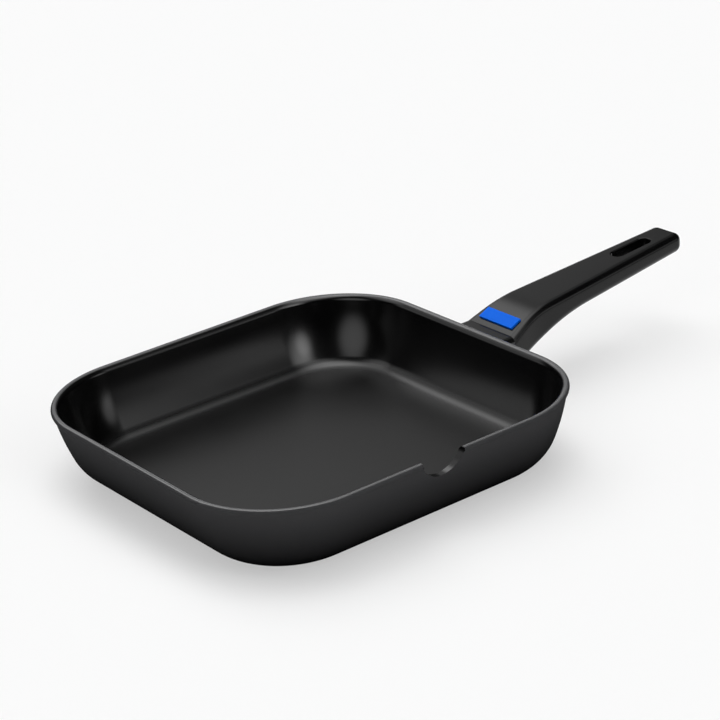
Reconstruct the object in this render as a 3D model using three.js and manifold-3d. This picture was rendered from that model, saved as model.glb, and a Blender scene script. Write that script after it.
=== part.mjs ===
// Square pan with a smooth floor, a pouring notch and a fixed handle.
// Millimetres, +Z up. The origin is the middle of the base, on the surface that the pan stands on.
// +X points along the handle, and the pouring notch is in the middle of the -Y side.

import * as THREE from 'three';
import { mergeVertices } from 'three/addons/utils/BufferGeometryUtils.js';
import Module from 'manifold-3d';

const wasm = await Module();
wasm.setup();

const degree = Math.PI / 180;
const upward = new THREE.Vector3(0, 0, 1);

// Clearance between pieces that meet, and how far a cut or a cast root runs past a face.
const fitGap = 0.3;
const overrun = 8;

// Pan body: sizes over the rim, the rim bead, the wall and the floor.
const panSide = 280;
const panCornerRadius = 70.5;
const panHeight = 53.5;
const rimWidth = 5;
const rimEdgeRadius = 2;
const beadOverhang = 2.2;
const beadHeight = 5;
const beadFootRadius = 2;
const outerDraft = 16.3 * degree;
const outerBottomRadius = 32.5;
const innerDraft = 17.5 * degree;
const innerBottomRadius = 14;
const floorHeight = 7;

// Pouring notch in the -Y rim: a round cut whose centre lies just over the rim.
const notchRadius = 16.5;
const notchCentreLift = 2.5;

// Steel disc let into the base. It stands a little proud of the casting and carries the pan.
const discThickness = 1.2;
const discProud = 0.3;
const discEdgeMargin = 11;

// Cast lug between the wall and the handle, with the tongue that the handle slides over.
const lugReach = 14.3;
const lugDropFromRim = 5.4;
const lugSideMargin = 9.3;
const lugFlareRadius = 12;
const lugFlareDrop = 8;
const tongueWidth = 24;
const tongueThickness = 7;
const tongueLength = 22;
const tongueDropFromLug = 2.6;
const tongueEdgeRadius = 2;

// Handle: top line, underside, plan and edges. Its root continues the lug's section.
const handleLength = 169.7;
const riseAngle = 24.7 * degree;
const riseBlendRadius = 55;
const gripAngle = 4.9 * degree;
const underFlatLength = 9;
const underFlatBlendRadius = 40;
const underRiseAngle = 20.8 * degree;
const underGripAngle = 5.9 * degree;
const underGripBlendRadius = 150;
const waistDistance = 23.7;
const waistSideMargin = 4.7;
const waistBlendRadius = 150;
const endHalfWidth = 13.4;
const endDepth = 14.2;
const endCornerRadius = 5.5;
const endEdgeRadius = 3;
const topEdgeRadius = 4.5;
const bottomEdgeRadius = 6;

// Hanging slot near the end of the handle.
const slotLength = 33.5;
const slotWidth = 11;
const slotCornerRadius = 4.5;
const slotEndMargin = 21.2;

// Plaque let into the rising root of the handle, on two pegs.
const badgeWidth = 33.4;
const badgeLength = 10;
const badgeThickness = 2.2;
const badgeCornerRadius = 0.8;
const badgeEdgeBevel = 0.3;
const badgeRecessDepth = 1.1;
const badgeFrontMargin = 5.2;
const badgeBackMargin = 1.7;
const badgePegDiameter = 3;
const badgePegLength = 2.4;
const badgePegSpacing = 20;

// M5 screw from below, through the handle's seat into the tongue, with its two washers.
const screwDiameter = 5;
const screwHeadDiameter = 9.2;
const screwHeadHeight = 2.8;
const screwHeadEdge = 0.8;
const screwHeadRecess = 1.9;
const screwDriveWidth = 1.2;
const screwDriveLength = 5.4;
const screwDriveDepth = 1.6;
const screwSetback = 8;
const screwSeatWall = 2.7;
const flatWasherDiameter = 10;
const flatWasherThickness = 0.8;
const springWasherDiameter = 9;
const springWasherThickness = 1;
const springWasherSlit = 1.2;

// Fineness of the faceted curves, and the largest share of a wall that a rounded edge may take.
const panCornerSteps = 12;
const arcSteps = 7;
const edgeSteps = 4;
const handleStep = 5;
const roundSteps = 32;
const notchSteps = 64;
const discSteps = 96;
const edgeShare = 0.45;

// Heights of the screw's stack. It hangs from a seat under the tongue, and sets the lug's depth.
const half = panSide / 2;
const lugTop = panHeight - lugDropFromRim;
const tongueTop = lugTop - tongueDropFromLug;
const tongueBottom = tongueTop - tongueThickness;
const seatHeight = tongueBottom - fitGap - screwSeatWall;
const flatWasherTop = seatHeight - fitGap;
const springWasherTop = flatWasherTop - flatWasherThickness - fitGap;
const screwHeadTop = springWasherTop - springWasherThickness - fitGap;
const screwHeadBottom = screwHeadTop - screwHeadHeight;
const screwTip = tongueTop - fitGap;
const screwBore = screwDiameter + 2 * fitGap;
const counterbore = flatWasherDiameter + 2 * fitGap;
const lugBottom = screwHeadBottom - screwHeadRecess;

// Places along the handle, and half widths that leave a margin beside the plaque.
const creaseX = half + lugReach;
const handleEndX = creaseX + handleLength;
const screwX = creaseX + screwSetback;
const lugHalfWidth = badgeWidth / 2 + lugSideMargin;
const waistHalfWidth = badgeWidth / 2 + waistSideMargin;

// A closed solid from a three.js geometry, ready to be joined or cut.
function solid(geometry) {
  const bare = geometry.index ? geometry.toNonIndexed() : geometry.clone();
  bare.deleteAttribute('normal');
  bare.deleteAttribute('uv');
  const merged = mergeVertices(bare);
  return new wasm.Manifold(new wasm.Mesh({
    numProp: 3,
    vertProperties: new Float32Array(merged.attributes.position.array),
    triVerts: new Uint32Array(merged.index.array),
  }));
}

// A named mesh from a finished solid.
function piece(name, body, material) {
  const faces = body.getMesh();
  const geometry = new THREE.BufferGeometry();
  geometry.setAttribute('position', new THREE.BufferAttribute(faces.vertProperties, 3));
  geometry.setIndex(new THREE.BufferAttribute(faces.triVerts, 1));
  geometry.computeVertexNormals();
  const mesh = new THREE.Mesh(geometry, material);
  mesh.name = name;
  return mesh;
}

// A closed body through a stack of rings with equal counts of points, capped at both ends.
function loft(rings) {
  const count = rings[0].length;
  const points = rings.flat();
  const faces = [];
  for (let level = 0; level + 1 < rings.length; level += 1) {
    for (let step = 0; step < count; step += 1) {
      const next = (step + 1) % count;
      const low = level * count;
      const high = low + count;
      faces.push(low + step, low + next, high + next);
      faces.push(low + step, high + next, high + step);
    }
  }
  const lastRing = (rings.length - 1) * count;
  const firstMiddle = points.length;
  const lastMiddle = firstMiddle + 1;
  points.push(middleOf(rings[0]), middleOf(rings.at(-1)));
  for (let step = 0; step < count; step += 1) {
    const next = (step + 1) % count;
    faces.push(firstMiddle, next, step);
    faces.push(lastMiddle, lastRing + step, lastRing + next);
  }
  const geometry = new THREE.BufferGeometry().setFromPoints(points);
  geometry.setIndex(faces);
  return geometry;
}

function middleOf(ring) {
  const middle = new THREE.Vector3();
  ring.forEach((point) => middle.add(point));
  return middle.divideScalar(ring.length);
}

// Points of an arc around a centre, both ends included.
function arcPoints(centreX, centreY, radius, fromAngle, toAngle, steps) {
  const points = [];
  for (let step = 0; step <= steps; step += 1) {
    const angle = fromAngle + (toAngle - fromAngle) * step / steps;
    points.push(new THREE.Vector2(
      centreX + radius * Math.cos(angle),
      centreY + radius * Math.sin(angle),
    ));
  }
  return points;
}

// A flat shape with rounded corners, centred on the origin.
function roundedRectangle(width, length, cornerRadius) {
  const radius = Math.min(cornerRadius, edgeShare * width, edgeShare * length);
  const x = width / 2 - radius;
  const y = length / 2 - radius;
  const shape = new THREE.Shape();
  shape.absarc(x, -y, radius, -Math.PI / 2, 0);
  shape.absarc(x, y, radius, 0, Math.PI / 2);
  shape.absarc(-x, y, radius, Math.PI / 2, Math.PI);
  shape.absarc(-x, -y, radius, Math.PI, Math.PI * 1.5);
  return shape;
}

// A flat shape raised from one height to another.
function raised(shape, bottom, top) {
  const geometry = new THREE.ExtrudeGeometry(shape, {
    depth: top - bottom,
    bevelEnabled: false,
    curveSegments: edgeSteps,
  });
  return geometry.translate(0, 0, bottom);
}

// An upright round rod between two heights, on an axis at x.
function rod(x, diameter, bottom, top, steps = roundSteps) {
  const geometry = new THREE.CylinderGeometry(diameter / 2, diameter / 2, top - bottom, steps);
  return geometry.rotateX(Math.PI / 2).translate(x, 0, (top + bottom) / 2);
}

// One level ring of the pan, drawn in from the rim's outline by the same inset all round.
function panRing(inset, height) {
  const radius = panCornerRadius - inset;
  const middle = half - panCornerRadius;
  const ring = [];
  for (let corner = 0; corner < 4; corner += 1) {
    const turn = corner * Math.PI / 2;
    arcPoints(middle, middle, radius, 0, Math.PI / 2, panCornerSteps).forEach((point) => {
      ring.push(new THREE.Vector3(point.x, point.y, height).applyAxisAngle(upward, turn));
    });
  }
  return ring;
}

// A round bottom that meets the level at its foot and a wall that leans out above it.
// The points hold inset and height, from the level to the wall.
function roundBottom(level, radius, draft, wallTopInset, wallTop) {
  const arcHeight = level + radius;
  const wallInset = wallTopInset + (wallTop - arcHeight) * Math.tan(draft);
  const arcInset = wallInset + radius / Math.cos(draft);
  return arcPoints(arcInset, arcHeight, radius, -Math.PI / 2, draft - Math.PI, arcSteps);
}

const rimRound = Math.min(rimEdgeRadius, edgeShare * rimWidth, edgeShare * beadHeight);
const beadFootRound = Math.min(beadFootRadius, edgeShare * beadHeight, beadOverhang - fitGap / 2);

// The outside of the pan, from the base's edge up the wall and round the bead to the rim.
function outerProfile() {
  const beadFoot = panHeight - beadHeight;
  return [
    ...roundBottom(discProud, outerBottomRadius, outerDraft, beadOverhang, beadFoot),
    new THREE.Vector2(beadOverhang, beadFoot),
    ...arcPoints(beadFootRound, beadFoot + beadFootRound, beadFootRound,
      -Math.PI / 2, -Math.PI, edgeSteps),
    ...arcPoints(rimRound, panHeight - rimRound, rimRound, Math.PI, Math.PI / 2, edgeSteps),
  ];
}

// The hollow of the pan, from the floor's edge up the wall and past the rim.
function innerProfile() {
  const rimFoot = panHeight - rimRound;
  const mouthInset = rimWidth - rimRound;
  return [
    ...roundBottom(floorHeight, innerBottomRadius, innerDraft, rimWidth, rimFoot),
    ...arcPoints(mouthInset, rimFoot, rimRound, 0, Math.PI / 2, edgeSteps),
    new THREE.Vector2(mouthInset, panHeight + overrun),
  ];
}

function panSolid(profile) {
  return solid(loft(profile.map((point) => panRing(point.x, point.y))));
}

// One section across the handle or the lug, with its own radii at top and bottom. It stands
// upright, or leans back below the lug's top, by up to the draft of the wall at a lean of one.
function crossSection(x, halfWidth, bottom, top, lean = 0) {
  const limit = edgeShare * Math.min(top - bottom, 2 * halfWidth);
  const upper = Math.min(topEdgeRadius, limit);
  const lower = Math.min(bottomEdgeRadius, limit);
  const upperY = halfWidth - upper;
  const lowerY = halfWidth - lower;
  const slant = lean * Math.tan(outerDraft);
  const outline = [
    ...arcPoints(lowerY, bottom + lower, lower, -Math.PI / 2, 0, edgeSteps),
    ...arcPoints(upperY, top - upper, upper, 0, Math.PI / 2, edgeSteps),
    ...arcPoints(-upperY, top - upper, upper, Math.PI / 2, Math.PI, edgeSteps),
    ...arcPoints(-lowerY, bottom + lower, lower, Math.PI, Math.PI * 1.5, edgeSteps),
  ];
  return outline.map((point) => new THREE.Vector3(x - slant * (lugTop - point.y), point.x, point.y));
}

// The lug widens and deepens towards the wall in a round flare that lies back with the wall.
function lugSolid() {
  const wallX = half - beadOverhang;
  const flareReach = Math.min(lugFlareRadius, lugReach);
  const wideHalf = lugHalfWidth + flareReach;
  const rings = [crossSection(wallX - overrun, wideHalf, lugBottom - lugFlareDrop, lugTop, 1)];
  for (let step = 0; step <= arcSteps; step += 1) {
    const angle = step / arcSteps * Math.PI / 2;
    const spread = 1 - Math.sin(angle);
    const x = wallX + flareReach * (1 - Math.cos(angle));
    const low = lugBottom - spread * lugFlareDrop;
    rings.push(crossSection(x, lugHalfWidth + spread * flareReach, low, lugTop, Math.cos(angle)));
  }
  rings.push(crossSection(creaseX - fitGap / 2, lugHalfWidth, lugBottom, lugTop));
  return solid(loft(rings));
}

// The tongue, or the socket round it when grown by the clearance.
function tongueSolid(grow) {
  const section = roundedRectangle(tongueThickness + 2 * grow, tongueWidth + 2 * grow, tongueEdgeRadius);
  const geometry = raised(section, -overrun, tongueLength + grow).rotateY(Math.PI / 2);
  return solid(geometry.translate(creaseX, 0, (tongueTop + tongueBottom) / 2));
}

// Height along straight runs whose inner corners are rounded, each by its own radius.
function filletedLine(points, radii) {
  const corners = radii.map((radius, index) => {
    const [before, corner, after] = points.slice(index, index + 3);
    const inward = corner.clone().sub(before).normalize();
    const outward = after.clone().sub(corner).normalize();
    const turn = inward.cross(outward);
    const reach = radius * Math.tan(Math.abs(Math.asin(turn)) / 2);
    const start = corner.clone().addScaledVector(inward, -reach);
    const end = corner.clone().addScaledVector(outward, reach);
    const side = Math.sign(turn);
    const centreX = start.x - inward.y * radius * side;
    const centreY = start.y + inward.x * radius * side;
    return { start, end, side, radius, centreX, centreY };
  });
  return (x) => {
    const round = corners.find((corner) => x > corner.start.x && x < corner.end.x);
    if (round) {
      return round.centreY - round.side * Math.sqrt(round.radius ** 2 - (x - round.centreX) ** 2);
    }
    const index = points.findIndex((point, place) => place > 0 && x <= point.x);
    const to = points.at(index);
    const from = points.at(index < 0 ? -2 : index - 1);
    return from.y + (to.y - from.y) * (x - from.x) / (to.x - from.x);
  };
}

// Top line of the handle: a rising root long enough for the plaque, then the straight grip.
const riseReach = riseBlendRadius * Math.tan((riseAngle - gripAngle) / 2);
const riseLength = badgeFrontMargin + badgeLength + badgeBackMargin + riseReach;
const riseEndX = creaseX + riseLength * Math.cos(riseAngle);
const riseEndHeight = lugTop + riseLength * Math.sin(riseAngle);
const handleEndHeight = riseEndHeight + (handleEndX - riseEndX) * Math.tan(gripAngle);
const topLine = filletedLine([
  new THREE.Vector2(creaseX, lugTop),
  new THREE.Vector2(riseEndX, riseEndHeight),
  new THREE.Vector2(handleEndX, handleEndHeight),
], [riseBlendRadius]);

// Underside: level behind the lug, rising steeply, then nearly parallel to the grip.
const underFlatEndX = creaseX + underFlatLength;
const underEndHeight = handleEndHeight - endDepth;
const underRise = Math.tan(underRiseAngle);
const underGrip = Math.tan(underGripAngle);
const underBendRun = (underEndHeight - lugBottom - underGrip * (handleEndX - underFlatEndX))
  / (underRise - underGrip);
const underLine = filletedLine([
  new THREE.Vector2(creaseX, lugBottom),
  new THREE.Vector2(underFlatEndX, lugBottom),
  new THREE.Vector2(underFlatEndX + underBendRun, lugBottom + underRise * underBendRun),
  new THREE.Vector2(handleEndX, underEndHeight),
], [underFlatBlendRadius, underGripBlendRadius]);

// Half the handle's width, from the lug's section to the slim end.
const planLine = filletedLine([
  new THREE.Vector2(creaseX, lugHalfWidth),
  new THREE.Vector2(creaseX + waistDistance, waistHalfWidth),
  new THREE.Vector2(handleEndX, endHalfWidth),
], [waistBlendRadius]);

// How far a rounded end draws the outline in at a place along the handle.
function endDraw(x, radius) {
  const into = Math.max(0, x - (handleEndX - radius));
  return radius - Math.sqrt(Math.max(0, radius ** 2 - into ** 2));
}

function handleSection(x) {
  const draw = endDraw(x, endEdgeRadius);
  const halfWidth = planLine(x) - endDraw(x, endCornerRadius);
  return crossSection(x, halfWidth, underLine(x) + draw, topLine(x) - draw);
}

// Sections at even steps along the handle, then closer ones round its end.
function handleSolid() {
  const front = creaseX + fitGap / 2;
  const roundStart = handleEndX - endCornerRadius;
  const count = Math.ceil((roundStart - front) / handleStep);
  const places = [];
  for (let step = 0; step <= count; step += 1) {
    places.push(front + (roundStart - front) * step / count);
  }
  for (let step = 1; step <= arcSteps; step += 1) {
    places.push(roundStart + endCornerRadius * Math.sin(step / arcSteps * Math.PI / 2));
  }
  return solid(loft(places.map(handleSection)));
}

// Moves a geometry that is drawn on the flat onto the handle's rising root, under the plaque.
function ontoRise(geometry) {
  const along = badgeFrontMargin + badgeLength / 2;
  return geometry.translate(along, 0, 0).rotateY(-riseAngle).translate(creaseX, 0, lugTop);
}

const badgeUnderside = fitGap - badgeRecessDepth;

// Round pegs under the plaque, or their holes when grown by the clearance.
function badgePegs(grow) {
  const bottom = badgeUnderside - badgePegLength - grow;
  const top = badgeUnderside + badgeThickness / 2;
  return [-1, 1].map((side) => {
    const peg = rod(0, badgePegDiameter + 2 * grow, bottom, top);
    return solid(ontoRise(peg.translate(0, side * badgePegSpacing / 2, 0)));
  });
}

// A ring round the screw, with the screw's clearance inside.
function washerSolid(diameter, thickness, top) {
  const hole = rod(screwX, screwBore, top - overrun, top + overrun);
  return solid(rod(screwX, diameter, top - thickness, top)).subtract(solid(hole));
}

const coatedAluminium = new THREE.MeshStandardMaterial({ color: 0x1c1c1d, roughness: 0.45, metalness: 0 });
const blackPhenolic = new THREE.MeshStandardMaterial({ color: 0x222223, roughness: 0.5, metalness: 0 });
const bluePlastic = new THREE.MeshStandardMaterial({ color: 0x0a66e2, roughness: 0.35, metalness: 0 });
const baseSteel = new THREE.MeshStandardMaterial({ color: 0xb8babc, roughness: 0.38, metalness: 1 });
const screwSteel = new THREE.MeshStandardMaterial({ color: 0xa9acb0, roughness: 0.3, metalness: 1 });

// Pan body: shell, lug and tongue cast as one, then the notch, the disc's seat and the screw hole.
const outside = outerProfile();
const discRadius = half - outside[0].x - discEdgeMargin;
const notchReach = 2 * (rimWidth + notchRadius + overrun);
const notchCut = new THREE.CylinderGeometry(notchRadius, notchRadius, notchReach, notchSteps);
notchCut.translate(0, -half, panHeight + notchCentreLift);
const discSeat = rod(0, 2 * (discRadius + fitGap), -overrun, discThickness + fitGap, discSteps);
const tongueHole = rod(screwX, screwBore, tongueBottom - overrun, tongueTop + overrun);
const castBody = panSolid(outside)
  .add(lugSolid())
  .subtract(panSolid(innerProfile()))
  .add(tongueSolid(0))
  .subtract(solid(notchCut))
  .subtract(solid(discSeat))
  .subtract(solid(tongueHole));

// Steel disc in the base.
const disc = solid(rod(0, 2 * discRadius, 0, discThickness, discSteps));

// Handle: lofted moulding, less the socket, the slot, the plaque's recess and the screw's way in.
const slotCut = raised(roundedRectangle(slotLength, slotWidth, slotCornerRadius),
  lugBottom, handleEndHeight + overrun);
slotCut.translate(handleEndX - slotEndMargin - slotLength / 2, 0, 0);
const recess = raised(
  roundedRectangle(badgeLength + 2 * fitGap, badgeWidth + 2 * fitGap, badgeCornerRadius),
  -badgeRecessDepth,
  overrun,
);
const moulding = [
  tongueSolid(fitGap),
  solid(slotCut),
  solid(ontoRise(recess)),
  ...badgePegs(fitGap),
  solid(rod(screwX, screwBore, seatHeight - overrun, tongueBottom)),
  solid(rod(screwX, counterbore, lugBottom - overrun, seatHeight)),
].reduce((body, cut) => body.subtract(cut), handleSolid());

// Plaque: a flat plate with eased edges, on its pegs.
const plate = new THREE.ExtrudeGeometry(
  roundedRectangle(badgeLength - 2 * badgeEdgeBevel, badgeWidth - 2 * badgeEdgeBevel, badgeCornerRadius),
  {
    depth: badgeThickness - 2 * badgeEdgeBevel,
    bevelSize: badgeEdgeBevel,
    bevelThickness: badgeEdgeBevel,
    bevelSegments: 1,
    curveSegments: edgeSteps,
  },
);
plate.translate(0, 0, badgeUnderside + badgeEdgeBevel);
const badge = badgePegs(0).reduce((body, peg) => body.add(peg), solid(ontoRise(plate)));

// Screw: a shank, a head with an eased edge, and a cross-shaped drive.
const screwRadius = screwDiameter / 2;
const screwHeadRadius = screwHeadDiameter / 2;
const screwBlank = new THREE.LatheGeometry([
  new THREE.Vector2(0, screwHeadBottom),
  new THREE.Vector2(screwHeadRadius - screwHeadEdge, screwHeadBottom),
  new THREE.Vector2(screwHeadRadius, screwHeadBottom + screwHeadEdge),
  new THREE.Vector2(screwHeadRadius, screwHeadTop),
  new THREE.Vector2(screwRadius, screwHeadTop),
  new THREE.Vector2(screwRadius, screwTip - screwHeadEdge),
  new THREE.Vector2(screwRadius - screwHeadEdge, screwTip),
  new THREE.Vector2(0, screwTip),
], roundSteps);
const screw = [0, Math.PI / 2].reduce((body, turn) => {
  const drive = new THREE.BoxGeometry(screwDriveLength, screwDriveWidth, 2 * screwDriveDepth);
  return body.subtract(solid(drive.rotateZ(turn).translate(screwX, 0, screwHeadBottom)));
}, solid(screwBlank.rotateX(Math.PI / 2).translate(screwX, 0, 0)));

// Washers: a plain ring, and a ring slit on one side.
const flatWasher = washerSolid(flatWasherDiameter, flatWasherThickness, flatWasherTop);
const slit = new THREE.BoxGeometry(springWasherDiameter, springWasherSlit, overrun);
slit.translate(screwX + springWasherDiameter / 2, 0, springWasherTop);
const springWasher = washerSolid(springWasherDiameter, springWasherThickness, springWasherTop)
  .subtract(solid(slit));

const pan = new THREE.Group();
pan.add(
  piece('pan_body', castBody, coatedAluminium),
  piece('induction_disc', disc, baseSteel),
  piece('handle', moulding, blackPhenolic),
  piece('handle_badge', badge, bluePlastic),
  piece('handle_screw', screw, screwSteel),
  piece('flat_washer', flatWasher, screwSteel),
  piece('spring_washer', springWasher, screwSteel),
);

export default pan;
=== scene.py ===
import math

import bmesh
import bpy
from mathutils import Matrix, Vector


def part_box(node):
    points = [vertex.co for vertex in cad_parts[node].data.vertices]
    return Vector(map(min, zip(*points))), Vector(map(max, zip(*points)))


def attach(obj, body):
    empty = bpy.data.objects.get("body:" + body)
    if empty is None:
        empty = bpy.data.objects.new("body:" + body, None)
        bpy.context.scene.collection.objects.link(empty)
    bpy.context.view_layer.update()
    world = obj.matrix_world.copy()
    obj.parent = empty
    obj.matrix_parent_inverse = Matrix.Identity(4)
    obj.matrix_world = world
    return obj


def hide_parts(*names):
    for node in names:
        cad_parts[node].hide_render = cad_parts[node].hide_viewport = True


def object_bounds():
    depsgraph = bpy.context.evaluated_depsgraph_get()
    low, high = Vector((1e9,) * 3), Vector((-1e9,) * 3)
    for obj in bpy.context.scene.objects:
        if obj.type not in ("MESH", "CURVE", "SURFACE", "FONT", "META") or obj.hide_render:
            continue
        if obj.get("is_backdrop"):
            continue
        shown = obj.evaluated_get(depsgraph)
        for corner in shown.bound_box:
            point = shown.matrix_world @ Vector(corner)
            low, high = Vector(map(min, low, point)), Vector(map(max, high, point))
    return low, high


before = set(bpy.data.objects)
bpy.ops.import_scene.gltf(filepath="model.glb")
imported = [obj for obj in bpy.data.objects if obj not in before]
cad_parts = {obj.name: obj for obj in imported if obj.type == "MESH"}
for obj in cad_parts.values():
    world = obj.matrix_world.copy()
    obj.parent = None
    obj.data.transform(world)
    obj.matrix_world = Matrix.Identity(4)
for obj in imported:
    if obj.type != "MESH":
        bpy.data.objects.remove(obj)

cad_low, cad_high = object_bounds()
mm = 0.001

# Pan body: one aluminium casting under a satin black coating, with a smooth floor, leaning
# walls and a rounded rim bead. Its section is drawn once, run along each side and spun round
# each corner, and the pouring notch and the seat of the base disc are cut afterwards.
rim_half = cad_high.y
rim_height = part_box("pan_body")[1].z
corner_radius = 70.5 * mm
rim_inner_round = 4.5 * mm
bead_round = 1.8 * mm
bead_overhang = 1.9 * mm
bead_lean = math.radians(45)
outer_lean_top = math.radians(11.5)
outer_lean_foot = math.radians(22)
outer_round = 32 * mm
inner_lean_top = math.radians(11)
inner_lean_foot = math.radians(31)
inner_curve_start = 44 * mm
inner_round = 12 * mm
floor_height = 7 * mm
base_height = 0.3 * mm
corner_steps = 28
flat_margin = 2.5 * mm
tolerance = 0.01 * mm


def begin_outline(name, start):
    """Makes a piece of one loose vertex, open in edit mode, from which an outline is drawn."""
    bpy.ops.object.select_all(action="DESELECT")
    bpy.ops.mesh.primitive_plane_add(size=mm, location=start)
    bpy.ops.object.transform_apply(location=True, rotation=True, scale=True)
    piece = bpy.context.object
    piece.name = name
    bpy.ops.object.mode_set(mode="EDIT")
    bpy.ops.mesh.merge(type="CENTER")
    return piece


def draw_line(piece, end):
    """Draws a straight line from the outline's last vertex to a point."""
    outline = bmesh.from_edit_mesh(piece.data)
    last = next(vertex for vertex in outline.verts if vertex.select)
    move = Vector(end) - last.co
    bpy.ops.mesh.extrude_vertices_move(TRANSFORM_OT_translate={"value": move})


def draw_arc(centre, axis, angle, steps):
    """Draws an arc from the outline's last vertex, right-handed about an axis."""
    bpy.ops.mesh.spin(steps=steps, angle=-angle, center=centre, axis=axis)


def pick(piece, kind, test):
    """Selects only the vertices, edges or faces that pass a test, in edit mode."""
    bpy.ops.mesh.select_mode(type=kind)
    bpy.ops.mesh.select_all(action="DESELECT")
    shape = bmesh.from_edit_mesh(piece.data)
    found = {"VERT": shape.verts, "EDGE": shape.edges, "FACE": shape.faces}[kind]
    for element in found:
        if test(element):
            element.select_set(True)
    shape.select_flush_mode()
    bmesh.update_edit_mesh(piece.data)


def take_up(piece):
    """Makes one piece the only selected and active one."""
    bpy.ops.object.select_all(action="DESELECT")
    bpy.context.view_layer.objects.active = piece
    piece.select_set(True)


def combine(piece, tool, operation):
    """Joins a tool to a piece, or cuts the piece with it, and takes the tool away."""
    take_up(piece)
    join = piece.modifiers.new("join", "BOOLEAN")
    join.operation = operation
    join.solver = "EXACT"
    join.object = tool
    bpy.ops.object.modifier_apply(modifier="join")
    bpy.data.objects.remove(tool, do_unlink=True)


def smooth(piece, angle):
    """Shades a piece smoothly up to an angle in degrees, with its large faces kept flat."""
    take_up(piece)
    bpy.ops.object.shade_smooth_by_angle(angle=math.radians(angle))
    even = piece.modifiers.new("even", "WEIGHTED_NORMAL")
    even.keep_sharp = True
    bpy.ops.object.modifier_apply(modifier="even")


straight_half = rim_half - corner_radius
section_y = -straight_half
convex = (0, -1, 0)
hollow = (0, 1, 0)


def on_arc(centre, radius, lean):
    """The point of an outside arc in the section where its wall leans out by an angle."""
    return centre + radius * Vector((math.cos(lean), 0, -math.sin(lean)))


bead_hollow = (bead_overhang - bead_round * (1 - math.cos(bead_lean))) / (
    math.cos(outer_lean_top) - math.cos(bead_lean))
bead_centre = Vector((rim_half - bead_round, section_y, rim_height - bead_round))
hollow_centre = on_arc(bead_centre, bead_round + bead_hollow, bead_lean)
wall_top = on_arc(hollow_centre, -bead_hollow, outer_lean_top)
outer_foot_z = base_height + outer_round * (1 - math.sin(outer_lean_foot))
crown = (wall_top.z - outer_foot_z) / (math.sin(outer_lean_foot) - math.sin(outer_lean_top))
crown_centre = on_arc(wall_top, -crown, outer_lean_top)
outer_centre = on_arc(crown_centre, crown - outer_round, outer_lean_foot)
mouth_centre = Vector((bead_centre.x, section_y, rim_height - rim_inner_round))
mouth_foot = on_arc(mouth_centre, -rim_inner_round, inner_lean_top)
curve_start = Vector((0, section_y, inner_curve_start))
curve_start.x = mouth_foot.x - (mouth_foot.z - inner_curve_start) * math.tan(inner_lean_top)
inner_drop = inner_curve_start - floor_height - inner_round * (1 - math.sin(inner_lean_foot))
inner_curve = inner_drop / (math.sin(inner_lean_foot) - math.sin(inner_lean_top))
curve_centre = on_arc(curve_start, -inner_curve, inner_lean_top)
inner_centre = on_arc(curve_centre, inner_curve - inner_round, inner_lean_foot)

coated_pan = begin_outline("coated_pan", (outer_centre.x, section_y, base_height))
draw_arc(outer_centre, convex, math.pi / 2 - outer_lean_foot, 14)
draw_arc(crown_centre, convex, outer_lean_foot - outer_lean_top, 8)
draw_arc(hollow_centre, hollow, bead_lean - outer_lean_top, 6)
draw_arc(bead_centre, convex, bead_lean + math.pi / 2, 12)
draw_arc(mouth_centre, convex, math.pi / 2 - inner_lean_top, 10)
draw_line(coated_pan, curve_start)
draw_arc(curve_centre, hollow, inner_lean_foot - inner_lean_top, 10)
draw_arc(inner_centre, hollow, math.pi / 2 - inner_lean_foot, 14)

bpy.ops.mesh.select_all(action="SELECT")
for corner in range(4):
    turn = Matrix.Rotation(corner * math.pi / 2, 3, "Z")
    side = turn @ Vector((0, 2 * straight_half, 0))
    corner_axis = turn @ Vector((straight_half, straight_half, 0))
    bpy.ops.mesh.extrude_region_move(TRANSFORM_OT_translate={"value": side})
    bpy.ops.mesh.spin(steps=corner_steps, angle=-math.pi / 2, center=corner_axis, axis=(0, 0, 1))
bpy.ops.mesh.select_all(action="SELECT")
bpy.ops.mesh.remove_doubles(threshold=tolerance)
bpy.ops.mesh.select_all(action="SELECT")
bpy.ops.mesh.fill_holes(sides=0)
bpy.ops.mesh.select_all(action="SELECT")
bpy.ops.mesh.normals_make_consistent(inside=False)
pick(coated_pan, "FACE", lambda face: len(face.verts) > 4)
bpy.ops.mesh.inset(thickness=flat_margin, depth=0)
bpy.ops.object.mode_set(mode="OBJECT")

notch_radius = 16.5 * mm
notch_rise = 2.5 * mm
notch_centre = Vector((0, -rim_half, rim_height + notch_rise))
notch_edge = 0.35 * mm
notch_slack = 0.05 * mm
bpy.ops.mesh.primitive_cylinder_add(
    vertices=128, radius=notch_radius, depth=4 * notch_radius, location=notch_centre,
    rotation=(math.pi / 2, 0, 0))
combine(coated_pan, bpy.context.object, "DIFFERENCE")


def in_notch(point):
    """Whether a point lies on the round cut of the notch."""
    reach = Vector((point.x - notch_centre.x, point.z - notch_centre.z))
    return point.y < 0 and abs(reach.length - notch_radius) < notch_slack


def on_notch_edge(edge):
    """Whether an edge is where the round cut of the notch meets the wall or the rim."""
    cut_faces = [face for face in edge.link_faces if in_notch(face.calc_center_median())]
    return len(cut_faces) == 1 and all(in_notch(vertex.co) for vertex in edge.verts)


bpy.ops.object.mode_set(mode="EDIT")
pick(coated_pan, "EDGE", on_notch_edge)
bpy.ops.mesh.bevel(offset=notch_edge, segments=4, clamp_overlap=True)
bpy.ops.object.mode_set(mode="OBJECT")

seat_radius = 88.65 * mm
seat_roof = 1.5 * mm
bpy.ops.mesh.primitive_cylinder_add(vertices=160, radius=seat_radius, depth=2 * seat_roof)
combine(coated_pan, bpy.context.object, "DIFFERENCE")

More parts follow.
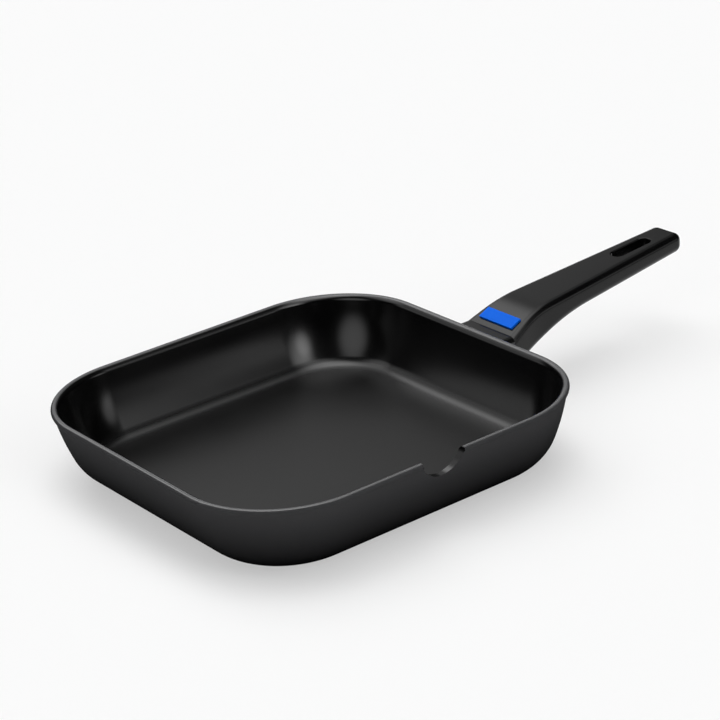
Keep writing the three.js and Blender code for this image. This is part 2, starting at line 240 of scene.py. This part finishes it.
# The lug for the handle is cast on the body's +X side. It widens towards the wall in a round
# flare that lies back with the wall, and the handle butts against its end.
lug_end = 154.2 * mm
lug_half_width = 26 * mm
lug_drop = 5.4 * mm
lug_top = rim_height - lug_drop
lug_bottom = 28.1 * mm
lug_flare = 12 * mm
lug_flare_drop = 8 * mm
lug_sink = 0.8 * mm
lug_back_lean = math.radians(16.3)
lug_steps = 12
top_edge_round = 5.2 * mm
bottom_edge_round = 6 * mm
level_slant = 0.6


def section_plate(name, x, half_width, bottom, top):
    """Makes a piece of one upright rectangle across the handle's axis, open in edit mode."""
    bpy.ops.object.select_all(action="DESELECT")
    bpy.ops.mesh.primitive_plane_add(size=1, rotation=(0, math.pi / 2, 0))
    bpy.ops.object.transform_apply(location=True, rotation=True, scale=True)
    piece = bpy.context.object
    piece.name = name
    bpy.ops.object.mode_set(mode="EDIT")
    bpy.ops.mesh.select_all(action="SELECT")
    bpy.ops.transform.resize(value=(1, 2 * half_width, top - bottom))
    bpy.ops.transform.translate(value=(x, 0, (top + bottom) / 2))
    return piece


def next_section(old, new, old_lean=0.0, new_lean=0.0):
    """Extrudes the selected section, given as x, half width, bottom and top, to a new one.
    A lean turns a section back about the middle of its top edge."""
    bpy.ops.mesh.extrude_region_move(TRANSFORM_OT_translate={"value": (0, 0, 0)})
    if old_lean:
        bpy.ops.transform.rotate(
            value=old_lean, orient_axis="Y", center_override=(old[0], 0, old[3]))
    bpy.ops.transform.translate(value=(new[0] - old[0], 0, new[3] - old[3]))
    grow = (1, new[1] / old[1], (new[3] - new[2]) / (old[3] - old[2]))
    bpy.ops.transform.resize(value=grow, center_override=(new[0], 0, new[3]))
    if new_lean:
        bpy.ops.transform.rotate(
            value=-new_lean, orient_axis="Y", center_override=(new[0], 0, new[3]))


def between(edge, upward):
    """Whether an edge runs between an upright face and the top, or the underside."""
    heights = sorted(face.normal.z * upward for face in edge.link_faces)
    return len(heights) == 2 and heights[0] < level_slant < heights[1]


wall_x = rim_half - bead_overhang - lug_sink
lug_section = (lug_end, lug_half_width, lug_bottom, lug_top)
lug_lean = 0.0
cast_lug = section_plate("cast_lug", *lug_section)
pick(cast_lug, "VERT", lambda vertex: vertex.co.z > lug_top - mm)
bpy.ops.mesh.bevel(offset=top_edge_round, segments=8, affect="VERTICES", clamp_overlap=False)
pick(cast_lug, "VERT", lambda vertex: vertex.co.z < lug_bottom + mm)
bpy.ops.mesh.bevel(offset=bottom_edge_round, segments=8, affect="VERTICES", clamp_overlap=False)
bpy.ops.mesh.select_mode(type="FACE")
bpy.ops.mesh.select_all(action="SELECT")
for step in range(lug_steps + 1):
    angle = step / lug_steps * math.pi / 2
    spread = 1 - math.cos(angle)
    flared = (
        wall_x + lug_flare * (1 - math.sin(angle)),
        lug_half_width + spread * lug_flare,
        lug_bottom - spread * lug_flare_drop,
        lug_top,
    )
    next_section(lug_section, flared, lug_lean, lug_back_lean * math.sin(angle))
    lug_section = flared
    lug_lean = lug_back_lean * math.sin(angle)
bpy.ops.mesh.select_all(action="SELECT")
bpy.ops.mesh.normals_make_consistent(inside=False)
bpy.ops.object.mode_set(mode="OBJECT")

combine(coated_pan, cast_lug, "UNION")
smooth(coated_pan, 35)


def place(tree, kind, inputs=None, **settings):
    """Adds a node to a material or a group, with its settings and the values of its inputs."""
    node = tree.nodes.new(kind)
    for name, value in settings.items():
        setattr(node, name, value)
    for name, value in (inputs or {}).items():
        node.inputs[name].default_value = value
    return node


satin_grain = bpy.data.node_groups.new("satin_grain", "ShaderNodeTree")
for name in ("Grain Scale", "Cloud Scale"):
    satin_grain.interface.new_socket(name, in_out="INPUT", socket_type="NodeSocketFloat")
for name in ("Grain", "Clouding"):
    satin_grain.interface.new_socket(name, in_out="OUTPUT", socket_type="NodeSocketFloat")
scales = place(satin_grain, "NodeGroupInput")
results = place(satin_grain, "NodeGroupOutput")
where = place(satin_grain, "ShaderNodeTexCoord")
fine = place(satin_grain, "ShaderNodeTexNoise", {"Detail": 2.0})
clouds = place(satin_grain, "ShaderNodeTexNoise", {"Detail": 4.0, "Roughness": 0.6})
spread = place(satin_grain, "ShaderNodeMapRange", {"From Min": 0.3, "From Max": 0.7})
satin_grain.links.new(where.outputs["Object"], fine.inputs["Vector"])
satin_grain.links.new(where.outputs["Object"], clouds.inputs["Vector"])
satin_grain.links.new(scales.outputs["Grain Scale"], fine.inputs["Scale"])
satin_grain.links.new(scales.outputs["Cloud Scale"], clouds.inputs["Scale"])
satin_grain.links.new(clouds.outputs["Fac"], spread.inputs["Value"])
satin_grain.links.new(fine.outputs["Fac"], results.inputs["Grain"])
satin_grain.links.new(spread.outputs["Result"], results.inputs["Clouding"])


def satin(name, colours, roughness, scales, depth, gleam=0.5):
    """Makes a finish whose colour and roughness drift in soft clouds, over a fine raised grain.
    Gleam is how strongly it mirrors, where 0.5 is usual."""
    material = bpy.data.materials.new(name)
    material.use_nodes = True
    tree = material.node_tree
    shader = tree.nodes["Principled BSDF"]
    shader.inputs["Specular IOR Level"].default_value = gleam
    grain = place(tree, "ShaderNodeGroup", node_tree=satin_grain)
    grain.inputs["Grain Scale"].default_value = scales[0]
    grain.inputs["Cloud Scale"].default_value = scales[1]
    tint = place(tree, "ShaderNodeValToRGB")
    for stop, colour in zip(tint.color_ramp.elements, colours):
        stop.color = (*colour, 1)
    gloss = place(tree, "ShaderNodeMapRange", {"To Min": roughness[0], "To Max": roughness[1]})
    relief = place(tree, "ShaderNodeBump", {"Strength": 0.5, "Distance": depth})
    tree.links.new(grain.outputs["Clouding"], tint.inputs["Fac"])
    tree.links.new(grain.outputs["Clouding"], gloss.inputs["Value"])
    tree.links.new(grain.outputs["Grain"], relief.inputs["Height"])
    tree.links.new(tint.outputs["Color"], shader.inputs["Base Color"])
    tree.links.new(gloss.outputs["Result"], shader.inputs["Roughness"])
    tree.links.new(relief.outputs["Normal"], shader.inputs["Normal"])
    return material


coating_tints = [(0.001, 0.001, 0.0011), (0.0016, 0.0016, 0.0017)]
coating_grain = (1800, 14)
coating_depth = 0.002 * mm
# The top of the rim is painted paler in a thin band: a painted highlight for the bright line along
# the rim.
rim_highlight_colour = (0.10, 0.10, 0.103)
rim_highlight_span = (52.8 * mm, 53.4 * mm)
floor_span = (14 * mm, 8 * mm)
floor_matt = 0.13
black_coating = satin("black_coating", coating_tints, (0.17, 0.21), coating_grain, coating_depth)
tree = black_coating.node_tree
shader = tree.nodes["Principled BSDF"]
where = place(tree, "ShaderNodeTexCoord")
height = place(tree, "ShaderNodeSeparateXYZ")
low = place(tree, "ShaderNodeMapRange", {"From Min": floor_span[0], "From Max": floor_span[1]})
floor_rough = place(tree, "ShaderNodeMath", operation="MULTIPLY_ADD")
floor_rough.inputs[1].default_value = floor_matt
# Painted highlight: by height, the rim's top band is mixed towards the paler rim colour.
rim_highlight_ramp = place(tree, "ShaderNodeMapRange", {"From Min": rim_highlight_span[0], "From Max": rim_highlight_span[1]})
rim_highlight_mix = place(tree, "ShaderNodeMixRGB", {"Color2": (*rim_highlight_colour, 1)})
tree.links.new(where.outputs["Object"], height.inputs["Vector"])
tree.links.new(height.outputs["Z"], low.inputs["Value"])
tree.links.new(low.outputs["Result"], floor_rough.inputs[0])
tree.links.new(tree.nodes["Map Range"].outputs["Result"], floor_rough.inputs[2])
tree.links.new(floor_rough.outputs["Value"], shader.inputs["Roughness"])
tree.links.new(height.outputs["Z"], rim_highlight_ramp.inputs["Value"])
tree.links.new(rim_highlight_ramp.outputs["Result"], rim_highlight_mix.inputs["Fac"])
tree.links.new(tree.nodes["Color Ramp"].outputs["Color"], rim_highlight_mix.inputs["Color1"])
tree.links.new(rim_highlight_mix.outputs["Color"], shader.inputs["Base Color"])
coated_pan.data.materials.append(black_coating)

# Outside, the walls have a matt lacquer without gloss. Its paler grey is a painted reflection of
# the floor, and painted shade darkens it to near black towards the base.
painted_wall_light_colour = (0.044, 0.044, 0.0455)
painted_wall_shade_span = (6 * mm, 48 * mm)
bead_turn = 0.6
base_turn = 0.2
matt_lacquer_painted_light = satin("matt_lacquer_painted_light", coating_tints, (0.47, 0.51), coating_grain, coating_depth, 0)
tree = matt_lacquer_painted_light.node_tree
where = place(tree, "ShaderNodeTexCoord")
height = place(tree, "ShaderNodeSeparateXYZ")
# Painted reflection and shade: the wall colour ramps by height from near black at the base to
# paler grey.
painted_wall_shade_ramp = place(
    tree, "ShaderNodeMapRange", {"From Min": painted_wall_shade_span[0], "From Max": painted_wall_shade_span[1]})
painted_wall_light_mix = place(tree, "ShaderNodeMixRGB", {"Color2": (*painted_wall_light_colour, 1)})
tree.links.new(where.outputs["Object"], height.inputs["Vector"])
tree.links.new(height.outputs["Z"], painted_wall_shade_ramp.inputs["Value"])
tree.links.new(painted_wall_shade_ramp.outputs["Result"], painted_wall_light_mix.inputs["Fac"])
tree.links.new(tree.nodes["Color Ramp"].outputs["Color"], painted_wall_light_mix.inputs["Color1"])
tree.links.new(painted_wall_light_mix.outputs["Color"], tree.nodes["Principled BSDF"].inputs["Base Color"])
coated_pan.data.materials.append(matt_lacquer_painted_light)


def on_outside(face):
    """Whether a face of the pan looks outwards, up to the rim bead and down to the base."""
    middle = face.calc_center_median()
    outward = Vector((middle.x, middle.y, 0)).normalized()
    return face.normal.dot(outward) > (bead_turn if middle.z > rim_height / 2 else base_turn)


take_up(coated_pan)
bpy.ops.object.mode_set(mode="EDIT")
pick(coated_pan, "FACE", on_outside)
coated_pan.active_material_index = 1
bpy.ops.object.material_slot_assign()
bpy.ops.object.mode_set(mode="OBJECT")
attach(coated_pan, "root")
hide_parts("pan_body")

# Base disc: a round of magnetic steel let into the underside of the casting, on which the
# pan stands. Its face is turned in fine rings and stepped by three shallow grooves.
disc_radius = 88.35 * mm
disc_height = 1.2 * mm
disc_edge = 0.25 * mm
groove_depth = 0.3 * mm
groove_width = 1.2 * mm
groove_spacing = 22 * mm
groove_count = 3

bpy.ops.object.select_all(action="DESELECT")
bpy.ops.mesh.primitive_cylinder_add(
    vertices=160, radius=disc_radius, depth=disc_height, location=(0, 0, disc_height / 2))
bpy.ops.object.transform_apply(location=True, rotation=True, scale=True)
base_disc = bpy.context.object
base_disc.name = "base_disc"
bpy.ops.object.mode_set(mode="EDIT")
pick(base_disc, "EDGE", lambda edge: sum(len(face.verts) == 4 for face in edge.link_faces) == 1)
bpy.ops.mesh.bevel(offset=disc_edge, segments=2)
pick(base_disc, "FACE", lambda face: len(face.verts) > 4 and face.normal.z < 0)
for groove in range(groove_count):
    bpy.ops.mesh.inset(thickness=groove_spacing, depth=0)
    bpy.ops.mesh.inset(thickness=groove_depth / 2, depth=-groove_depth)
    bpy.ops.mesh.inset(thickness=groove_width, depth=0)
    bpy.ops.mesh.inset(thickness=groove_depth / 2, depth=groove_depth)
bpy.ops.object.mode_set(mode="OBJECT")
smooth(base_disc, 25)

turned_steel = satin(
    "turned_steel", [(0.56, 0.56, 0.57), (0.66, 0.66, 0.67)], (0.28, 0.38), (900, 30), 0.01 * mm)
tree = turned_steel.node_tree
tree.nodes["Principled BSDF"].inputs["Metallic"].default_value = 1.0
where = place(tree, "ShaderNodeTexCoord")
rings = place(tree, "ShaderNodeTexWave", {"Scale": 520.0}, wave_type="RINGS", rings_direction="Z")
tree.links.new(where.outputs["Object"], rings.inputs["Vector"])
tree.links.new(rings.outputs["Fac"], tree.nodes["Bump"].inputs["Height"])
base_disc.data.materials.append(turned_steel)
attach(base_disc, "root")
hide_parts("induction_disc")

# Handle: a solid phenolic moulding that rises from the lug, then runs straight to its end.
# It is drawn as sections along its length, with rounded edges, a hanging slot through the
# end, a shallow recess for the plaque and a hole for the screw's head below.
crease_x = 154.3 * mm
handle_end = cad_high.x
front_gap = 0.1 * mm
handle_front = crease_x + front_gap
grip_start = 236 * mm
section_step = 2 * mm
bend_x = 178.37 * mm
bend_top = 59.17 * mm
bend_round = 80 * mm
end_top = 71.66 * mm
under_flat_end = 163.3 * mm
under_flat_round = 40 * mm
under_bend_x = 209.4 * mm
under_bend_bottom = 45.62 * mm
under_bend_round = 150 * mm
end_bottom = 57.46 * mm
waist_x = 178 * mm
waist_half_width = 21.4 * mm
waist_round = 150 * mm
end_half_width = 13.4 * mm
end_round = 5.5 * mm
front_edge = 0.2 * mm


def rounded_run(points, radii):
    """Gives the height over x of straight runs whose inner corners are rounded by these radii."""
    corners = []
    for index, radius in enumerate(radii):
        before, corner, after = (Vector(point) for point in points[index:index + 3])
        inward = (corner - before).normalized()
        outward = (after - corner).normalized()
        turn = inward.x * outward.y - inward.y * outward.x
        reach = radius * math.tan(abs(math.asin(turn)) / 2)
        start = corner - inward * reach
        side = math.copysign(1, turn)
        centre = start + Vector((-inward.y, inward.x)) * radius * side
        corners.append((start.x, (corner + outward * reach).x, side, radius, centre))

    def height(x):
        for start, end, side, radius, centre in corners:
            if start < x < end:
                return centre.y - side * math.sqrt(radius ** 2 - (x - centre.x) ** 2)
        index = 1
        while index + 1 < len(points) and x > points[index][0]:
            index += 1
        (from_x, from_y), (to_x, to_y) = points[index - 1], points[index]
        return from_y + (to_y - from_y) * (x - from_x) / (to_x - from_x)

    return height


handle_top = rounded_run(
    [(crease_x, lug_top), (bend_x, bend_top), (handle_end, end_top)], [bend_round])
handle_under = rounded_run(
    [(crease_x, lug_bottom), (under_flat_end, lug_bottom), (under_bend_x, under_bend_bottom),
     (handle_end, end_bottom)],
    [under_flat_round, under_bend_round])
handle_half_width = rounded_run(
    [(crease_x, lug_half_width), (waist_x, waist_half_width), (handle_end, end_half_width)],
    [waist_round])


def handle_section(x):
    """A section of the handle as x, half width, bottom and top."""
    return x, handle_half_width(x), handle_under(x), handle_top(x)


moulded_handle = section_plate("moulded_handle", *handle_section(handle_front))
section_count = math.ceil((grip_start - handle_front) / section_step)
stations = [handle_front + (grip_start - handle_front) * step / section_count
            for step in range(section_count + 1)] + [handle_end]
for station, following in zip(stations, stations[1:]):
    next_section(handle_section(station), handle_section(following))
bpy.ops.mesh.select_all(action="SELECT")
bpy.ops.mesh.normals_make_consistent(inside=False)


def at_front(edge):
    """Whether an edge lies in the face that butts against the lug."""
    return all(abs(vertex.co.x - handle_front) < tolerance for vertex in edge.verts)


def upright_at_end(edge):
    """Whether an edge is one of the two upright ones at the handle's far end."""
    at_end = all(abs(vertex.co.x - handle_end) < tolerance for vertex in edge.verts)
    return at_end and abs(edge.verts[1].co.z - edge.verts[0].co.z) > mm


def on_perimeter(edge, upward):
    """Whether an edge is on the long way round the top, or the underside."""
    return between(edge, upward) and not at_front(edge)


pick(moulded_handle, "EDGE", upright_at_end)
bpy.ops.mesh.bevel(offset=end_round, segments=10, clamp_overlap=False)
pick(moulded_handle, "EDGE", lambda edge: on_perimeter(edge, 1))
bpy.ops.mesh.bevel(offset=top_edge_round, segments=7, clamp_overlap=False)
pick(moulded_handle, "EDGE", lambda edge: on_perimeter(edge, -1))
bpy.ops.mesh.bevel(offset=bottom_edge_round, segments=7, clamp_overlap=False)
pick(moulded_handle, "EDGE", at_front)
bpy.ops.mesh.bevel(offset=front_edge, segments=2, clamp_overlap=False)
bpy.ops.object.mode_set(mode="OBJECT")

slot_start = 269.3 * mm
slot_length = 33.5 * mm
slot_width = 11 * mm
slot_corner = 4.5 * mm
slot_edge = 0.8 * mm
recess_start = 4.9 * mm
recess_length = 10.6 * mm
recess_width = 34 * mm
recess_depth = 1.1 * mm
recess_corner = 1.1 * mm
slope = math.radians(24.7)
screw_x = 162.3 * mm
counterbore_radius = 5.3 * mm
counterbore_roof = 35.5 * mm
counterbore_edge = 0.4 * mm
mouth_slack = 0.1 * mm
upright_slant = 0.2


def rounded_block(name, low, high, corner):
    """Makes a block between its lowest and highest corners, with its upright edges rounded."""
    low, high = Vector(low), Vector(high)
    bpy.ops.object.select_all(action="DESELECT")
    bpy.ops.mesh.primitive_cube_add(size=1, location=(low + high) / 2, scale=high - low)
    bpy.ops.object.transform_apply(location=True, rotation=True, scale=True)
    block = bpy.context.object
    block.name = name
    bpy.ops.object.mode_set(mode="EDIT")
    pick(block, "EDGE", lambda edge: abs(edge.verts[0].co.z - edge.verts[1].co.z) > tolerance)
    bpy.ops.mesh.bevel(offset=corner, segments=8)
    bpy.ops.object.mode_set(mode="OBJECT")
    return block


def lay_on_slope(piece):
    """Takes a piece that was made level, with the crease at the origin, up on to the slope."""
    take_up(piece)
    piece.location = (crease_x, 0, lug_top)
    piece.rotation_euler = (0, -slope, 0)
    bpy.ops.object.transform_apply(location=True, rotation=True, scale=True)


slot = rounded_block(
    "slot", (slot_start, -slot_width / 2, 0),
    (slot_start + slot_length, slot_width / 2, 2 * lug_top), slot_corner)
combine(moulded_handle, slot, "DIFFERENCE")
recess = rounded_block(
    "recess", (recess_start, -recess_width / 2, -recess_depth),
    (recess_start + recess_length, recess_width / 2, 4 * recess_depth), recess_corner)
lay_on_slope(recess)
combine(moulded_handle, recess, "DIFFERENCE")
bpy.ops.mesh.primitive_cylinder_add(
    vertices=48, radius=counterbore_radius, depth=counterbore_roof,
    location=(screw_x, 0, counterbore_roof / 2))
combine(moulded_handle, bpy.context.object, "DIFFERENCE")


def meets_outside(edge):
    """Whether an upright wall meets a face of the handle that looks up or down along an edge."""
    slants = sorted(abs(face.normal.z) for face in edge.link_faces)
    return len(slants) == 2 and slants[0] < upright_slant and slants[1] > level_slant


def on_slot_edge(edge):
    """Whether an edge goes round the hanging slot."""
    inside = all(abs(vertex.co.y) < slot_width / 2 + mouth_slack for vertex in edge.verts)
    along = all(abs(vertex.co.x - slot_start - slot_length / 2) < slot_length / 2 + mouth_slack
                for vertex in edge.verts)
    return inside and along and meets_outside(edge)


def on_counterbore_edge(edge):
    """Whether an edge goes round the mouth of the screw's hole."""
    near = all((vertex.co.xy - Vector((screw_x, 0))).length < counterbore_radius + mouth_slack
               for vertex in edge.verts)
    return near and edge.verts[0].co.z < counterbore_roof - mm and meets_outside(edge)


bpy.ops.object.mode_set(mode="EDIT")
pick(moulded_handle, "EDGE", on_slot_edge)
bpy.ops.mesh.bevel(offset=slot_edge, segments=4, clamp_overlap=False)
pick(moulded_handle, "EDGE", on_counterbore_edge)
bpy.ops.mesh.bevel(offset=counterbore_edge, segments=3, clamp_overlap=False)
bpy.ops.object.mode_set(mode="OBJECT")
smooth(moulded_handle, 35)

black_phenolic = satin(
    "black_phenolic", [(0.001, 0.001, 0.0011), (0.002, 0.002, 0.0021)], (0.16, 0.20), (1500, 24),
    0.003 * mm, 0.25)
moulded_handle.data.materials.append(black_phenolic)
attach(moulded_handle, "root")
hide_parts("handle")

# Plaque: a plain blue rectangle of satin plastic, pressed into a shallow recess on the slope
# behind the crease. It stands proud by a little over a millimetre and its edges are eased.
plaque_start = 5.2 * mm
plaque_length = 10 * mm
plaque_width = 33.4 * mm
plaque_low = -0.8 * mm
plaque_high = 1.4 * mm
plaque_corner = 0.8 * mm
plaque_edge = 0.3 * mm

blue_plaque = rounded_block(
    "blue_plaque", (plaque_start, -plaque_width / 2, plaque_low),
    (plaque_start + plaque_length, plaque_width / 2, plaque_high), plaque_corner)
bpy.ops.object.mode_set(mode="EDIT")
pick(blue_plaque, "EDGE", lambda edge: between(edge, 1))
bpy.ops.mesh.bevel(offset=plaque_edge, segments=3)
bpy.ops.object.mode_set(mode="OBJECT")
lay_on_slope(blue_plaque)
smooth(blue_plaque, 35)

blue_plastic = satin(
    "blue_plastic", [(0.002, 0.125, 0.74), (0.004, 0.137, 0.78)], (0.42, 0.48), (2200, 60),
    0.006 * mm, 0.04)
blue_plaque.data.materials.append(blue_plastic)
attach(blue_plaque, "root")
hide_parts("handle_badge")

# Screw: one zinc plated machine screw, driven up through the handle into the lug's tongue.
# Its cylinder head has an eased rim and a cross drive, and lies inside the hole for it.
head_radius = 4.6 * mm
head_low = 30 * mm
head_high = 32.8 * mm
head_round = 0.8 * mm
shank_radius = 2.5 * mm
shank_top = 45.2 * mm
drive_width = 1.2 * mm
drive_length = 5.4 * mm
drive_depth = 1.6 * mm
drive_corner = 0.3 * mm

bpy.ops.object.select_all(action="DESELECT")
bpy.ops.mesh.primitive_cylinder_add(
    vertices=48, radius=head_radius, depth=head_high - head_low,
    location=(screw_x, 0, (head_low + head_high) / 2))
bpy.ops.object.transform_apply(location=True, rotation=True, scale=True)
plated_screw = bpy.context.object
plated_screw.name = "plated_screw"
bpy.ops.object.mode_set(mode="EDIT")
pick(plated_screw, "EDGE", lambda edge: between(edge, -1))
bpy.ops.mesh.bevel(offset=head_round, segments=5)
pick(plated_screw, "FACE", lambda face: face.normal.z > level_slant)
bpy.ops.mesh.inset(thickness=head_radius - shank_radius, depth=0)
bpy.ops.mesh.extrude_region_move(TRANSFORM_OT_translate={"value": (0, 0, shank_top - head_high)})
bpy.ops.object.mode_set(mode="OBJECT")
for arm in ((drive_length, drive_width), (drive_width, drive_length)):
    reach = Vector((arm[0], arm[1], 2 * drive_depth)) / 2
    middle = Vector((screw_x, 0, head_low))
    drive = rounded_block("drive", middle - reach, middle + reach, drive_corner)
    combine(plated_screw, drive, "DIFFERENCE")
smooth(plated_screw, 35)

zinc_plate = satin(
    "zinc_plate", [(0.50, 0.51, 0.52), (0.60, 0.61, 0.62)], (0.30, 0.42), (2500, 220), 0.01 * mm)
zinc_plate.node_tree.nodes["Principled BSDF"].inputs["Metallic"].default_value = 1.0
plated_screw.data.materials.append(zinc_plate)
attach(plated_screw, "root")
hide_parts("handle_screw")

# Washers: a flat one and a split spring one, stacked under the screw's head. They are turned
# and cut from plated steel strip and keep the solids' own shape.
for washer in ("flat_washer", "spring_washer"):
    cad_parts[washer].data.materials.clear()
    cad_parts[washer].data.materials.append(zinc_plate)

# Floor: plain and pale, with a round hole that the base disc covers. The camera and reflections
# see it partly as a glow, which softens the shadow. Seen from below it is clear, so that the
# underside can be looked at.
floor_hole = 87 * mm
floor_reach = 6.0
floor_level = -0.05 * mm
floor_colour = (0.93, 0.93, 0.93)
floor_glow = 0.5

bpy.ops.object.select_all(action="DESELECT")
bpy.ops.mesh.primitive_circle_add(vertices=128, radius=floor_hole, location=(0, 0, floor_level))
bpy.ops.object.transform_apply(location=True, rotation=True, scale=True)
studio_floor = bpy.context.object
studio_floor.name = "studio_floor"
bpy.ops.object.mode_set(mode="EDIT")
bpy.ops.mesh.select_all(action="SELECT")
bpy.ops.mesh.extrude_region_move(TRANSFORM_OT_translate={"value": (0, 0, 0)})
widen = floor_reach / floor_hole
bpy.ops.transform.resize(value=(widen, widen, 1), center_override=(0, 0, floor_level))
bpy.ops.object.mode_set(mode="OBJECT")
if studio_floor.data.polygons[0].normal.z < 0:
    studio_floor.data.flip_normals()

pale_floor = bpy.data.materials.new("pale_floor")
pale_floor.use_nodes = True
tree = pale_floor.node_tree
shader = tree.nodes["Principled BSDF"]
shader.inputs["Base Color"].default_value = (*floor_colour, 1)
shader.inputs["Roughness"].default_value = 1.0
shader.inputs["Specular IOR Level"].default_value = 0.0
glow = place(tree, "ShaderNodeEmission", {"Color": (*floor_colour, 1)})
ray = place(tree, "ShaderNodeLightPath")
seen = place(tree, "ShaderNodeMath", operation="ADD")
mirrored = place(tree, "ShaderNodeMath", operation="ADD")
share = place(tree, "ShaderNodeMath", operation="MULTIPLY", use_clamp=True)
share.inputs[1].default_value = floor_glow
lit = place(tree, "ShaderNodeMixShader")
tree.links.new(ray.outputs["Is Camera Ray"], seen.inputs[0])
tree.links.new(ray.outputs["Is Glossy Ray"], seen.inputs[1])
tree.links.new(seen.outputs["Value"], mirrored.inputs[0])
tree.links.new(ray.outputs["Is Transmission Ray"], mirrored.inputs[1])
tree.links.new(mirrored.outputs["Value"], share.inputs[0])
tree.links.new(share.outputs["Value"], lit.inputs["Fac"])
tree.links.new(shader.outputs["BSDF"], lit.inputs[1])
tree.links.new(glow.outputs["Emission"], lit.inputs[2])
clear = place(tree, "ShaderNodeBsdfTransparent")
side = place(tree, "ShaderNodeNewGeometry")
one_way = place(tree, "ShaderNodeMixShader")
tree.links.new(side.outputs["Backfacing"], one_way.inputs["Fac"])
tree.links.new(lit.outputs["Shader"], one_way.inputs[1])
tree.links.new(clear.outputs["BSDF"], one_way.inputs[2])
tree.links.new(one_way.outputs["Shader"], tree.nodes["Material Output"].inputs["Surface"])
studio_floor.data.materials.append(pale_floor)
studio_floor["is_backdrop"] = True

# Light tent: a wide dome, unseen by the camera, that is bright where soft lamps stand and
# dark between them, as in a studio. Each lamp is a soft patch in one direction, and a weak
# light from below shows the underside. Behind the dome, the surroundings are as pale as the floor.
tent_reach = 40.0
tent_rise = (9, 32)
tent_level = 0.04
tent_fall = (-0.05, -0.2)
tent_below = 0.3
soft_lamps = [
    # azimuth, elevation, core, reach (degrees), strength
    (0, 88, 2, 27, 3.6),
    (60, 62, 2, 26, 1.3),
    (100, 62, 2, 26, 1.3),
    (-90, 62, 2, 26, 1.2),
    (135, 44, 2, 26, 1.2),
    (82, 40, 4, 17, 2.0),
    (-75, 42, 2, 22, 0.8),
    (-77, 29, 2, 20, 1.8),
    (62, 28, 3, 18, 0.45),
    (131, 12, 4, 15, 0.7),
    (-86, 23, 4, 12, 2.4),
    (-158, 23, 8, 23, 1.3),
    (-51, 14, 3, 11, 1.3),
    (-56, 6, 2, 8, 0.9),
    (58, 8, 4, 12, 0.6),
]

bpy.ops.object.select_all(action="DESELECT")
bpy.ops.mesh.primitive_ico_sphere_add(subdivisions=4, radius=tent_reach)
light_tent = bpy.context.object
light_tent.name = "light_tent"
light_tent.visible_camera = False
tent_glow = bpy.data.materials.new("tent_glow")
tent_glow.use_nodes = True
tree = tent_glow.node_tree
tree.nodes.remove(tree.nodes["Principled BSDF"])
where = place(tree, "ShaderNodeTexCoord")
toward = place(tree, "ShaderNodeVectorMath", operation="NORMALIZE")
height = place(tree, "ShaderNodeSeparateXYZ")
rise = place(tree, "ShaderNodeMapRange", interpolation_type="SMOOTHSTEP")
rise.inputs["From Min"].default_value = math.sin(math.radians(tent_rise[0]))
rise.inputs["From Max"].default_value = math.sin(math.radians(tent_rise[1]))
rise.inputs["To Max"].default_value = tent_level
below = place(tree, "ShaderNodeMapRange", interpolation_type="SMOOTHSTEP")
below.inputs["From Min"].default_value = tent_fall[0]
below.inputs["From Max"].default_value = tent_fall[1]
below.inputs["To Max"].default_value = tent_below
tree.links.new(where.outputs["Object"], toward.inputs[0])
tree.links.new(toward.outputs["Vector"], height.inputs["Vector"])
tree.links.new(height.outputs["Z"], rise.inputs["Value"])
tree.links.new(height.outputs["Z"], below.inputs["Value"])
total = place(tree, "ShaderNodeMath", operation="ADD")
tree.links.new(rise.outputs["Result"], total.inputs[0])
tree.links.new(below.outputs["Result"], total.inputs[1])
for azimuth, elevation, core, reach, strength in soft_lamps:
    turn, climb = math.radians(azimuth), math.radians(elevation)
    aim = (math.cos(turn) * math.cos(climb), math.sin(turn) * math.cos(climb), math.sin(climb))
    near = place(tree, "ShaderNodeVectorMath", operation="DOT_PRODUCT")
    near.inputs[1].default_value = aim
    patch = place(tree, "ShaderNodeMapRange", interpolation_type="SMOOTHSTEP")
    patch.inputs["From Min"].default_value = math.cos(math.radians(reach))
    patch.inputs["From Max"].default_value = math.cos(math.radians(core))
    patch.inputs["To Max"].default_value = strength
    more = place(tree, "ShaderNodeMath", operation="ADD")
    tree.links.new(toward.outputs["Vector"], near.inputs[0])
    tree.links.new(near.outputs["Value"], patch.inputs["Value"])
    tree.links.new(total.outputs["Value"], more.inputs[0])
    tree.links.new(patch.outputs["Result"], more.inputs[1])
    total = more
glow = place(tree, "ShaderNodeEmission")
tree.links.new(total.outputs["Value"], glow.inputs["Strength"])
tree.links.new(glow.outputs["Emission"], tree.nodes["Material Output"].inputs["Surface"])
light_tent.data.materials.append(tent_glow)
light_tent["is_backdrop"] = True

world = bpy.data.worlds.new("pale_surroundings")
world.use_nodes = True
world.node_tree.nodes["Background"].inputs["Color"].default_value = (*floor_colour, 1)
bpy.context.scene.world = world

# Camera: the photograph's point of view, fitted to the rim, the base and the handle. It
# stands on the notch's side, opposite the handle, and looks down into the pan.
camera_data = bpy.data.cameras.new("camera")
camera_data.lens = 119.281
camera_data.sensor_width = 36
camera = bpy.data.objects.new("camera", camera_data)
camera.location = (-0.78486, -1.16662, 0.67513)
camera.rotation_euler = (math.radians(66.6883), math.radians(4.7726), math.radians(-37.4412))
bpy.context.scene.collection.objects.link(camera)
bpy.context.scene.camera = camera
bpy.context.scene.view_settings.view_transform = "Standard"

low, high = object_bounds()
